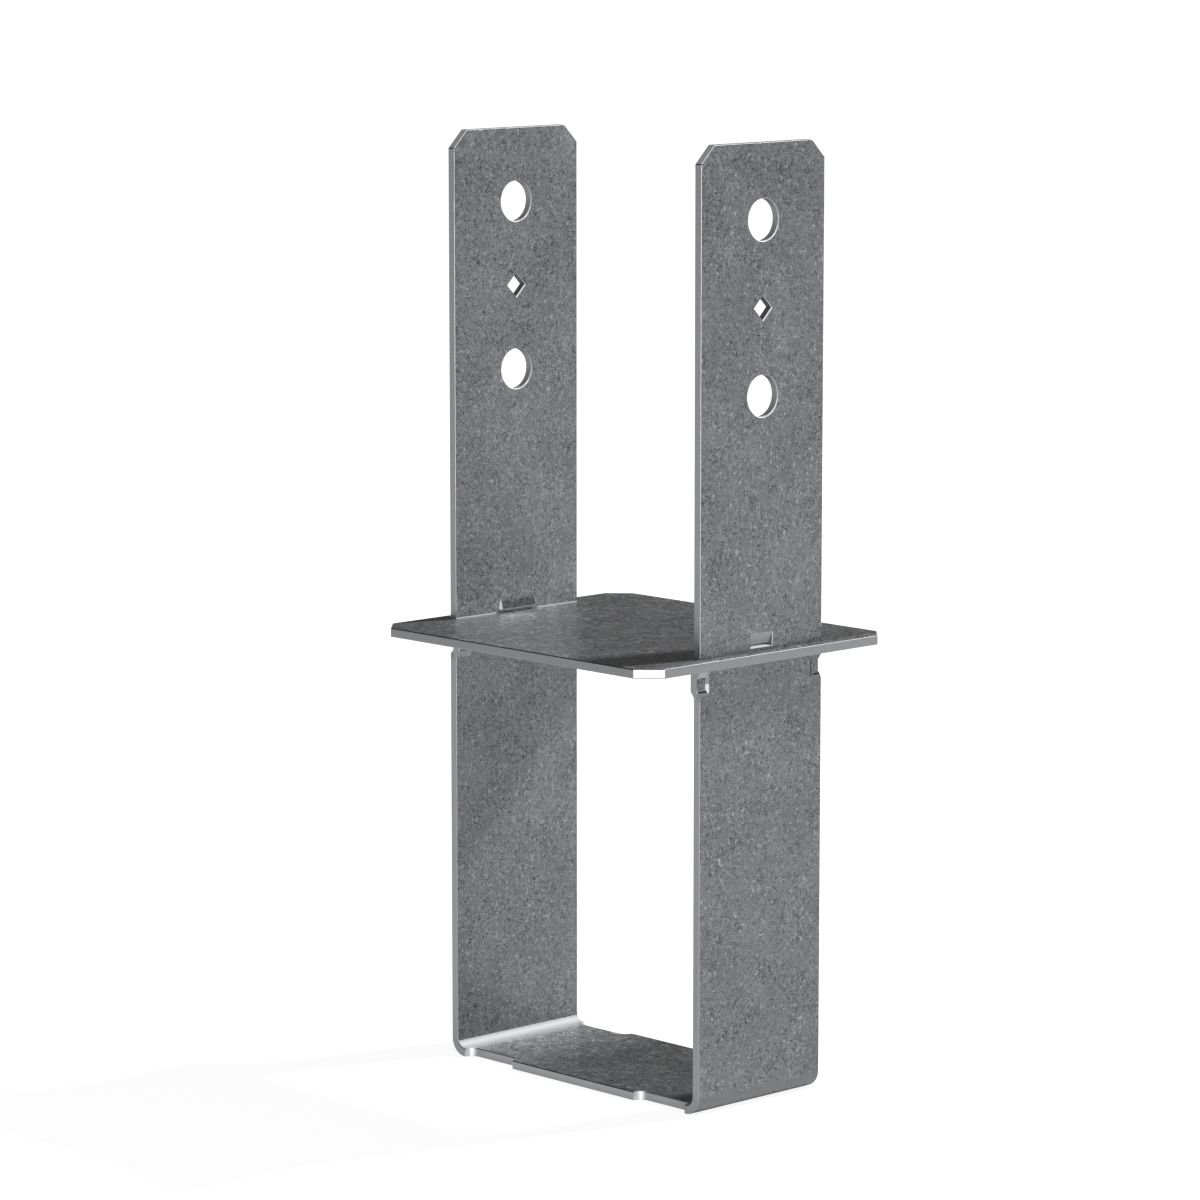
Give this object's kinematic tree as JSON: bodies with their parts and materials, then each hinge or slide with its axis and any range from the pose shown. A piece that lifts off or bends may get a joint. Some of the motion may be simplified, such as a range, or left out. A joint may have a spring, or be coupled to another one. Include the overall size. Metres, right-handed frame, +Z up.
{
  "type": "timber post base",
  "caption": "Standoff base for a square timber post: a strap folded into a U is cast into concrete and carries a slotted plate that the post stands on.",
  "frame": {"origin": "middle of the underside of the strap's web, the face that the loose part stands on", "axes": "+X from one leg to the other, +Y along the width of the strap, +Z up along the legs"},
  "size_m": [0.1764, 0.1526, 0.4265],
  "materials": {
    "strap_zinc": "galvanised steel, matt grey with a fine mottle",
    "plate_zinc": "galvanised steel, matt grey with a fine mottle"
  },
  "bodies": {
    "root": {"u_strap": "strap_zinc", "base_plate": "plate_zinc"}
  },
  "joints": []
}
